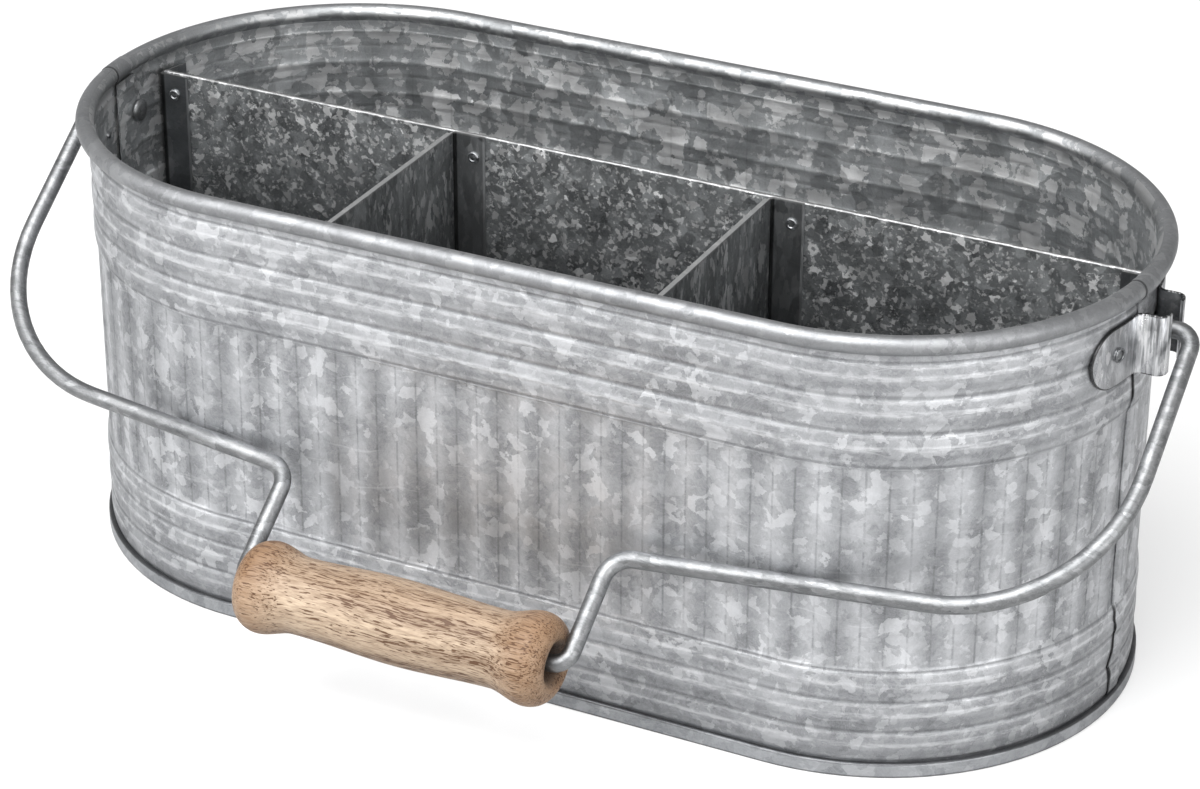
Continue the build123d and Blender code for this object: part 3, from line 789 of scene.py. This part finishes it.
class Blank:
    """A flat blank made of strips, each a closed outline carried along the sheet's length.

    Each point knows its place along the blank and how much it is ribbed, beaded and cut.
    Each face knows its side.
    """

    def __init__(self):
        self.points, self.faces, self.inner = [], [], []
        self.values = {"along": [], "ribbed": [], "beaded": [], "cut": []}

    def strip(self, outline, places, ribbed=0.0, beaded=1.0, waver=None, thinned=0.0, cut=0.0):
        """Carry an outline of (thickness, height, is inner) points along these places.

        The strip's start may be thinned and wavy over its first columns, and marked as a cut edge.
        Beads are half as deep on the inside as on the outside.
        """
        thinned_columns, wavy_columns = 3, 4
        count, first = len(outline), len(self.points)
        base = min(point[0] for point in outline)
        for column, place in enumerate(places):
            thinning = 1 - thinned * max(0.0, 1 - column / thinned_columns)
            waviness = max(0.0, 1 - column / wavy_columns)
            for out, z, inside in outline:
                along = (place + (waver(z) * waviness if waver else 0.0)) * MM
                self.points.append((along, (base + (out - base) * thinning) * MM, z * MM))
                self.values["along"].append(along)
                self.values["ribbed"].append(ribbed)
                self.values["beaded"].append(beaded * (0.5 if inside else 1.0))
                self.values["cut"].append(cut if column == 0 else 0.0)
        for column in range(len(places) - 1):
            for row in range(count):
                here, ahead = first + column * count, first + (column + 1) * count
                above = (row + 1) % count
                self.faces.append((here + row, ahead + row, ahead + above, here + above))
                self.inner.append(1.0 if outline[row][2] and outline[above][2] else 0.0)
        last = first + (len(places) - 1) * count
        self.faces.append(tuple(range(first, first + count)))
        self.faces.append(tuple(range(last + count - 1, last - 1, -1)))
        self.inner += [0.0, 0.0]

    def make(self, name):
        mesh = closed_mesh(name, self.points, self.faces)
        for title, values in self.values.items():
            mesh.attributes.new(title, "FLOAT", "POINT").data.foreach_set("value", values)
        mesh.attributes.new("inner", "FLOAT", "FACE").data.foreach_set("value", self.inner)
        return new_object(name, mesh)


def wall_heights():
    """Give the heights of the rows in a wall: close together on beads, further apart on ribs."""
    rows_in_bead, rows_in_rib, above_foot = 10, 10, 3.0
    rib_foot = LOWER_FOOT + LOWER_PITCH * BEADS
    low, high = rib_foot + RIB_END, UPPER_FOOT - RIB_END
    heights = [WALL_FOOT, above_foot]
    heights += [LOWER_FOOT + LOWER_PITCH * step / rows_in_bead for step in range(rows_in_bead * BEADS + 1)]
    heights += [rib_foot + row for row in RIB_END_ROWS]
    heights += [low + (high - low) * step / rows_in_rib for step in range(1, rows_in_rib)]
    heights += [UPPER_FOOT - row for row in reversed(RIB_END_ROWS)]
    heights += [UPPER_FOOT + UPPER_PITCH * step / rows_in_bead for step in range(rows_in_bead * BEADS + 1)]
    return heights


def on_rim(radius, turn):
    return RIM_OUT + radius * cos(turn), RIM_Z + radius * sin(turn)


def wall_outline():
    """Draw a wall seen edge on: up its outside, round the rolled rim and down its inside."""
    heights = wall_heights()
    start = -pi / 2 - asin(RIM_OUT / RIM_RADIUS)
    finish = 3 * pi / 2 - asin((RIM_OUT + SHEET) / RIM_RADIUS)
    inside_from = pi * 0.62
    outline = [(0.0, z, False) for z in heights]
    for step in range(RIM_STEPS + 1):
        turn = start + (finish - start) * step / RIM_STEPS
        outline.append((*on_rim(RIM_RADIUS, turn), inside_from < turn))
    return outline + [(-SHEET, z, True) for z in reversed(heights)]


def collar_outline(radius):
    """Draw the collar round the rolled rim, seen edge on."""
    turns = [2 * pi * step / RIM_STEPS for step in range(RIM_STEPS)]
    return [(*on_rim(radius, turn), False) for turn in turns]


def leaf_outline(low_out, high_out, foot, inside=False, follow=False):
    """Draw a leaf of the seam seen edge on, with rows close enough to follow the beads if it has to."""
    heights = [z for z in wall_heights() if foot < z < LEAF_TOP] if follow else []
    heights = [foot] + heights + [LEAF_TOP]
    return [(high_out, z, inside) for z in heights] + [(low_out, z, inside) for z in reversed(heights)]


def end_place(y):
    """Give the length along a rolled wall at which it reaches this y at its end, in its own half's frame."""
    return END_CENTRE + WALL_RADIUS * acos(-y / WALL_RADIUS)


def even(low, high):
    """Give places from low to high, spaced as evenly as the rows of a wall."""
    count = max(1, round(abs(high - low) / ROW_SPACING))
    return [low + (high - low) * step / count for step in range(count + 1)]


def add_seam(blank, side):
    """Add the seam at one end of the back half: two leaves, the fold between them and the rim's collar."""
    open_top = 42.0

    def waver(z):
        swing = 3.4 if z < open_top else 1.0
        return side * swing * (0.35 * sin(z / 7.0) + 0.3 * sin(z / 2.9 + 1.0) + 0.15 * sin(z / 1.3))

    start = side * end_place(LEAF_START)
    room = ROOM_RADIUS - WALL_RADIUS
    outer = leaf_outline(GAP, GAP + SHEET, OUTER_LEAF_FOOT, follow=True)
    inner = leaf_outline(room - SHEET, room, INNER_LEAF_FOOT, inside=True)
    fold = leaf_outline(room - SHEET / 2, GAP + SHEET / 2, OUTER_LEAF_FOOT)
    places = even(side * end_place(OUTER_LEAF_REACH), start)
    blank.strip(outer, places, ribbed=1.0, waver=waver, thinned=0.35, cut=1.0)
    blank.strip(inner, even(side * end_place(INNER_LEAF_REACH), start), beaded=0.0)
    blank.strip(fold, [side * end_place(y) for y in FOLD_REACHES], beaded=0.0)
    collar = collar_outline(RIM_RADIUS + COLLAR_STEP)
    blank.strip(collar, even(side * end_place(COLLAR_REACH), start), beaded=0.0, cut=1.0)


def make_walls():
    front, back = Blank(), Blank()
    for blank, edge in ((front, end_place(-SEAM_SETBACK - GAP)), (back, end_place(SEAM_SETBACK))):
        blank.strip(wall_outline(), even(-edge, edge), ribbed=1.0)
    for side in (-1, 1):
        add_seam(back, side)
    roller = make_roller()
    finish = {"Outside": OUTER, "Inside": INNER}
    for blank, side, half_turn, seed in ((front, "front", 0.0, 3.0), (back, "back", pi, 8.0)):
        wall = run_nodes(blank.make(f"{side}_wall"), roller, {"Half Turn": half_turn, "Seed": seed, **finish})
        smooth(wall, degrees=38)
        finish_piece(wall, "tub", "galvanized_wall", f"{side}_shell")


make_walls()


# The bail: a line with a bend radius at each corner, made round by a tree

def make_wire_tree():
    """Round the corners of a line and give it the thickness of the wire."""
    inputs = {
        "Line": GEOMETRY,
        "Wire Radius": WIRE_RADIUS * MM,
        "Spacing": 1.5 * MM,
        "Bend Steps": 18,
        "Sides": 28,
        "Metal": MATERIAL,
    }
    g = new_group("bent_wire", "GeometryNodeTree", inputs, {"Wire": GEOMETRY})
    given = g.inside
    line = g.made("GeometryNodeMeshToCurve", {"Mesh": given["Line"]})
    bends = {"Curve": line, "Radius": g.named("bend"), "Count": given["Bend Steps"]}
    bent = g.made("GeometryNodeFilletCurve", bends, mode="POLY")
    evened = g.made("GeometryNodeResampleCurve", {"Curve": bent, "Length": given["Spacing"]}, mode="LENGTH")
    sizes = {"Radius": given["Wire Radius"], "Resolution": given["Sides"]}
    ring = g.made("GeometryNodeCurvePrimitiveCircle", sizes)
    tube = g.made("GeometryNodeCurveToMesh", {"Curve": evened, "Profile Curve": ring, "Fill Caps": True})
    smooth = g.made("GeometryNodeSetShadeSmooth", {"Geometry": tube})
    return put_out(g, Wire=g.coated(smooth, given["Metal"]))


def on_bail(x, reach):
    """Give the point of the hanging bail this far from the pivots."""
    return Vector((x, -reach * sin(LEAN), PIVOT_Z - reach * cos(LEAN)))


def make_bail():
    """Make the wire from its corners, each with its place and bend radius, and its two peened ends."""
    half_span = GRIP_LENGTH / 2 + LEG_GAP
    left = [(-HEAD_X, 0, 0), (-ARM_X, 0, ARM_BEND), (-ARM_X, SHOULDER_REACH, SIDE_BEND)]
    middle = []
    for x in (GRIP_SHIFT - half_span, GRIP_SHIFT + half_span):
        shoulder = SHOULDER_REACH + SHOULDER_SLOPE * (ARM_X - abs(x))
        leg = [(x, shoulder, SHOULDER_BEND), (x, GRIP_REACH, GRIP_BEND)]
        middle += leg if x < GRIP_SHIFT else reversed(leg)
    corners = left + middle + [(-x, reach, bend) for x, reach, bend in reversed(left)]
    mesh = bpy.data.meshes.new("bail")
    edges = [(corner, corner + 1) for corner in range(len(corners) - 1)]
    mesh.from_pydata([on_bail(x, reach) * MM for x, reach, _ in corners], edges, [])
    bends = [bend * MM for _, _, bend in corners]
    mesh.attributes.new("bend", "FLOAT", "POINT").data.foreach_set("value", bends)
    bail = run_nodes(new_object("bail", mesh), make_wire_tree(), {"Metal": WIRE})
    finish_piece(bail, "bail", "galvanized_wire", "bail_wire")
    head = [(0.0, 4.0), (-0.4, 4.3), (-1.2, 4.0), (-1.6, 2.6), (-1.8, 0.2)]
    for side, name in ((-1, "peened_end_left"), (1, "peened_end_right")):
        profile = [(side * along, radius) for along, radius in head]
        end = lathe(name, profile, (side * HEAD_X, 0, PIVOT_Z), WIRE, steps=32)
        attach(end, "bail")


make_bail()


def make_grip():
    """Turn the grip: a hollow in each end, round knobs, slimmer necks and a slight belly."""
    half = GRIP_LENGTH / 2
    hollow = [(6.0, 3.7), (4.2, 4.6), (2.4, 6.2), (0.9, 7.6), (0.1, 8.9)]
    knob_steps, neck_steps = 12, 16
    profile = [(along - half, radius) for along, radius in hollow]
    for step in range(1, knob_steps + 1):
        turn = pi / 2 * step / knob_steps
        rise = (KNOB_RADIUS - HOLLOW_EDGE_RADIUS) * sin(turn)
        profile.append((KNOB_PLACE * (1 - cos(turn)) - half, HOLLOW_EDGE_RADIUS + rise))
    knots = [(KNOB_PLACE - half, KNOB_RADIUS), (NECK_PLACE - half, NECK_RADIUS), (0.0, BELLY_RADIUS)]
    for (x0, r0), (x1, r1) in zip(knots, knots[1:]):
        for step in range(1, neck_steps + 1):
            share = step / neck_steps
            profile.append((x0 + (x1 - x0) * share, r0 + (r1 - r0) * share * share * (3 - 2 * share)))
    profile += [(-x, r) for x, r in reversed(profile[:-1])]
    profile.append(profile[0])

    def hand_turned(along, turn):
        flat = 0.12 * sin(3 * turn + along / 19.0) + 0.08 * sin(5 * turn - along / 11.0 + 1.0)
        return flat * max(0.0, 1 - abs(along) / half)

    grip = lathe("grip", profile, on_bail(GRIP_SHIFT, GRIP_REACH), WOOD, steps=96, wobble=hand_turned)
    finish_piece(grip, "grip", "grip_wood", "wood_grip")


make_grip()


# Rivets, set on their places by a tree

def make_rivet_tree():
    """Set a rivet on each point, facing along the point's own direction."""
    inputs = {
        "Places": GEOMETRY,
        "Head Radius": 2.2 * MM,
        "Head Height": 0.9 * MM,
        "Ring Radius": 0.6 * MM,
        "Shank Radius": 1.4 * MM,
        "Shank Length": 2.0 * MM,
        "Metal": MATERIAL,
    }
    g = new_group("set_rivets", "GeometryNodeTree", inputs, {"Rivets": GEOMETRY})
    given = g.inside

    def lifted(shape, height):
        values = {"Geometry": shape, "Translation": g.join(0.0, 0.0, height)}
        return g.made("GeometryNodeTransform", values)

    dome = g.made("GeometryNodeMeshUVSphere", {"Segments": 28, "Rings": 14, "Radius": given["Head Radius"]})
    flat = given["Head Height"] * 0.75 / given["Head Radius"]
    dome = g.made("GeometryNodeTransform", {"Geometry": dome, "Scale": g.join(1.0, 1.0, flat)})
    ring_reach = given["Head Radius"] - given["Ring Radius"]
    circle = g.made("GeometryNodeCurvePrimitiveCircle", {"Resolution": 28, "Radius": ring_reach})
    bead = g.made("GeometryNodeCurvePrimitiveCircle", {"Resolution": 12, "Radius": given["Ring Radius"]})
    ring = g.made("GeometryNodeCurveToMesh", {"Curve": circle, "Profile Curve": bead})
    ring = lifted(ring, given["Head Height"] - given["Ring Radius"])
    sizes = {"Vertices": 20, "Radius": given["Shank Radius"], "Depth": given["Shank Length"]}
    shank = lifted(g.made("GeometryNodeMeshCylinder", sizes), given["Shank Length"] * -0.5)
    rivet = g.add("GeometryNodeJoinGeometry")
    for part in (dome, ring, shank):
        g.feed(rivet.inputs[0], part)
    smooth = g.made("GeometryNodeSetShadeSmooth", {"Geometry": g.results(rivet)["Geometry"]})
    facing = g.named("facing", "FLOAT_VECTOR")
    turn = g.made("FunctionNodeAlignRotationToVector", {"Vector": facing}, axis="Z")
    values = {"Points": given["Places"], "Instance": smooth, "Rotation": turn}
    return put_out(g, Rivets=g.coated(g.made("GeometryNodeInstanceOnPoints", values), given["Metal"]))


def set_rivets(tree, name, places, node, sizes):
    """Put rivets at these places, each with the direction that its head faces."""
    mesh = bpy.data.meshes.new(name)
    mesh.from_pydata([Vector(at) * MM for at, _ in places], [], [])
    facing = [value for _, direction in places for value in direction]
    mesh.attributes.new("facing", "FLOAT_VECTOR", "POINT").data.foreach_set("vector", facing)
    sizes = {title: size * MM for title, size in sizes.items()}
    finish_piece(run_nodes(new_object(name, mesh), tree, {"Metal": RIVET, **sizes}), "tub", "rivet", node)


def make_rivets():
    tree = make_rivet_tree()
    face_y = DIVIDER_FRONT - SHEET / 2 - GAP - SHEET
    end_x = END_CENTRE + sqrt((ROOM_RADIUS - SHEET / 2) ** 2 - (face_y + SHEET / 2) ** 2) - ANGLE_RIVET_SHIFT
    cross_x = [place + CROSS_RIVET_SHIFT for place in CROSS_PLACES]
    for name, places_x, node in (
        ("end_rivets", (-end_x, end_x), "end_angle_rivets"),
        ("cross_rivets", cross_x, "cross_divider_rivets"),
    ):
        places = [((x, face_y, z), (0.0, -1.0, 0.0)) for x in places_x for z in RIVET_HEIGHTS]
        set_rivets(tree, name, places, node, {})
    turn = asin(EAR_RIVET_Y / WALL_RADIUS)
    reach = WALL_RADIUS + BEAD_HEIGHT + GAP + EAR_SHEET
    places = []
    for side_x in (-1, 1):
        for side_y in (-1, 1):
            out = (side_x * cos(turn), side_y * sin(turn), 0.0)
            places.append(((side_x * END_CENTRE + reach * out[0], reach * out[1], EAR_RIVET_Z), out))
    sizes = {"Head Radius": 2.6, "Head Height": 1.2, "Ring Radius": 0.4, "Shank Length": 3.0}
    set_rivets(tree, "ear_rivet_set", places, "ear_rivets", sizes)


make_rivets()


# The ears: straps with a rounded end that bend away from the wall and on into a lip

def ear_line():
    """Give the strap's middle line in plan, from its round end to its lip, for the front right ear."""
    pad_steps, bend_steps = 24, 8
    pad_radius = WALL_RADIUS + BEAD_HEIGHT + GAP + EAR_SHEET / 2
    side_y = EAR_SHEET / 2 - EAR_HALF_WIDTH
    lip_x = END_CENTRE + WALL_RADIUS + EAR_DEPTH - EAR_SHEET / 2
    first, last = asin(-EAR_REACH / pad_radius), asin((side_y - EAR_BEND) / pad_radius)
    shares = [1 - cos(pi / 2 * step / pad_steps) for step in range(pad_steps + 1)]
    turns = [first + (last - first) * share for share in shares]
    line = [(END_CENTRE + pad_radius * cos(turn), pad_radius * sin(turn)) for turn in turns]
    x = line[-1][0]
    bends = [pi / 2 * step / bend_steps for step in range(bend_steps + 1)]
    line += [(x + EAR_BEND * (1 - cos(turn)), side_y - EAR_BEND * (1 - sin(turn))) for turn in bends[1:]]
    line += [(lip_x - EAR_BEND * (1 - sin(turn)), side_y + EAR_BEND * (1 - cos(turn))) for turn in bends]
    return line + [(lip_x, EAR_LIP - EAR_HALF_WIDTH)]


def make_ear(name, side_x, side_y):
    """Build one ear, with its inner face in the painted-shade material."""
    line = ear_line()
    top, thick, edge = EAR_HEIGHT / 2, EAR_SHEET / 2, EAR_CORNER
    round_y = top - EAR_REACH
    rings = []
    for place, (x, y) in enumerate(line):
        before, after = line[max(place - 1, 0)], line[min(place + 1, len(line) - 1)]
        along = Vector((after[0] - before[0], after[1] - before[1])).normalized()
        half = top if y > round_y else sqrt(max(top**2 - (y - round_y) ** 2, 1.0))
        corners = [(-thick, edge - half), (edge - thick, -half), (thick - edge, -half), (thick, edge - half)]
        corners += [(n, -z) for n, z in reversed(corners)]
        ring = [(x + along.y * n, along.x * n - y, EAR_MIDDLE_Z + z) for n, z in corners]
        rings.append([(side_x * px, side_y * py, pz) for px, py, pz in ring])
    ear = skin(name, rings, [EAR, SHADED_EAR])
    for face in ear.data.polygons:
        # the inner face takes the painted-shade material
        face.material_index = int(face.index % len(rings[0]) == EAR_INNER_FACE)
    smooth(ear, degrees=50)
    return ear


def make_ears():
    for side, side_x in (("right", 1), ("left", -1)):
        for end, side_y in (("front", -1), ("back", 1)):
            ear = make_ear(f"ear_{end}_{side}", side_x, side_y)
            finish_piece(ear, "tub", "galvanized_ear", f"ear_leaf_{end}_{side}")


make_ears()


# The pieces that keep their solids get their finish

def coat(material, *nodes):
    for name in nodes:
        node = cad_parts[name]
        node.data.materials.clear()
        node.data.materials.append(material)


coat(FOOT, "base_pan")
coat(PANEL, "long_divider")
coat(CROSS, "cross_divider_left", "cross_divider_right")
coat(ANGLE, "end_angle_left", "end_angle_right")
coat(WIRE, "rim_wire")


# Studio, in metres and watts, with the camera that was fitted to the photograph

FLOOR_HALF = 6.0
FLOOR_GREY = (0.45, 0.45, 0.45)
FLOOR_GLOW = 0.5
GLOSSY_SHARE = 0.3
WORLD_LIGHT, WORLD_SEEN = 0.42, 1.0
LAMPS = (
    ("overhead", (-0.15, -0.95, 1.5), (0, 0, 0.1), 2.0, 58),
    ("left_front", (-1.2, -1.2, 0.6), (0, 0, 0.08), 0.8, 7),
    ("right_front", (1.7, -0.9, 0.7), (0, 0, 0.08), 1.5, 17),
)
CAMERA_AT = (0.5150, -1.0432, 0.6787)
AZIMUTH, ELEVATION, ROLL = radians(26.41), radians(27.60), radians(0.24)
FOCAL_PIXELS, PHOTO_WIDTH, SENSOR_WIDTH = 3687, 1200, 36.0


def make_floor():
    """Lay a pale floor that looks white to the camera and keeps the object's shadow."""
    mesh = bpy.data.meshes.new("floor")
    corners = [(x * FLOOR_HALF, y * FLOOR_HALF, 0) for x, y in ((-1, -1), (1, -1), (1, 1), (-1, 1))]
    mesh.from_pydata(corners, [], [(0, 1, 2, 3)])
    floor = new_object("floor", mesh)
    material = bpy.data.materials.new("pale_floor")
    material.use_nodes = True
    nodes = material.node_tree.nodes
    nodes.remove(nodes["Principled BSDF"])
    tree = Tree(material.node_tree)
    path = tree.results(tree.add("ShaderNodeLightPath"))
    seen = tree.most(path["Is Camera Ray"], path["Is Glossy Ray"] * GLOSSY_SHARE)
    matt = tree.made("ShaderNodeBsdfDiffuse", {"Color": FLOOR_GREY})
    glow = tree.made("ShaderNodeEmission", {"Strength": seen * FLOOR_GLOW})
    both = tree.made("ShaderNodeAddShader", {0: matt, 1: glow})
    tree.feed(nodes["Material Output"].inputs["Surface"], both)
    mesh.materials.append(material)


def make_world():
    """Light the scene softly from all round, and show the world white to the camera."""
    world = bpy.data.worlds.new("studio")
    bpy.context.scene.world = world
    world.use_nodes = True
    tree = Tree(world.node_tree)
    seen = tree.made("ShaderNodeLightPath", output="Is Camera Ray")
    background = world.node_tree.nodes["Background"].inputs
    tree.feed(background["Strength"], WORLD_LIGHT + seen * (WORLD_SEEN - WORLD_LIGHT))
    tree.feed(background["Color"], WHITE)


def make_lamp(name, at, towards, size, power):
    light = bpy.data.lights.new(name, "AREA")
    light.shape = "DISK"
    light.size = size
    light.energy = power
    made = new_object(name, light)
    made.location = at
    made.rotation_euler = (Vector(towards) - Vector(at)).to_track_quat("-Z", "Y").to_euler()


def make_camera():
    camera = bpy.data.cameras.new("camera")
    camera.sensor_fit = "HORIZONTAL"
    camera.sensor_width = SENSOR_WIDTH
    camera.lens = FOCAL_PIXELS / PHOTO_WIDTH * SENSOR_WIDTH
    camera.clip_start, camera.clip_end = 0.05, 50.0
    eye = new_object("camera", camera)
    turns = ((AZIMUTH, "Z"), (pi / 2 - ELEVATION, "X"), (ROLL, "Z"))
    eye.matrix_world = Matrix.Translation(CAMERA_AT)
    for angle, axis in turns:
        eye.matrix_world @= Matrix.Rotation(angle, 4, axis)
    bpy.context.scene.camera = eye
    bpy.context.scene.view_settings.view_transform = "Standard"


make_floor()
make_world()
for lamp in LAMPS:
    make_lamp(*lamp)
make_camera()

bpy.context.view_layer.update()
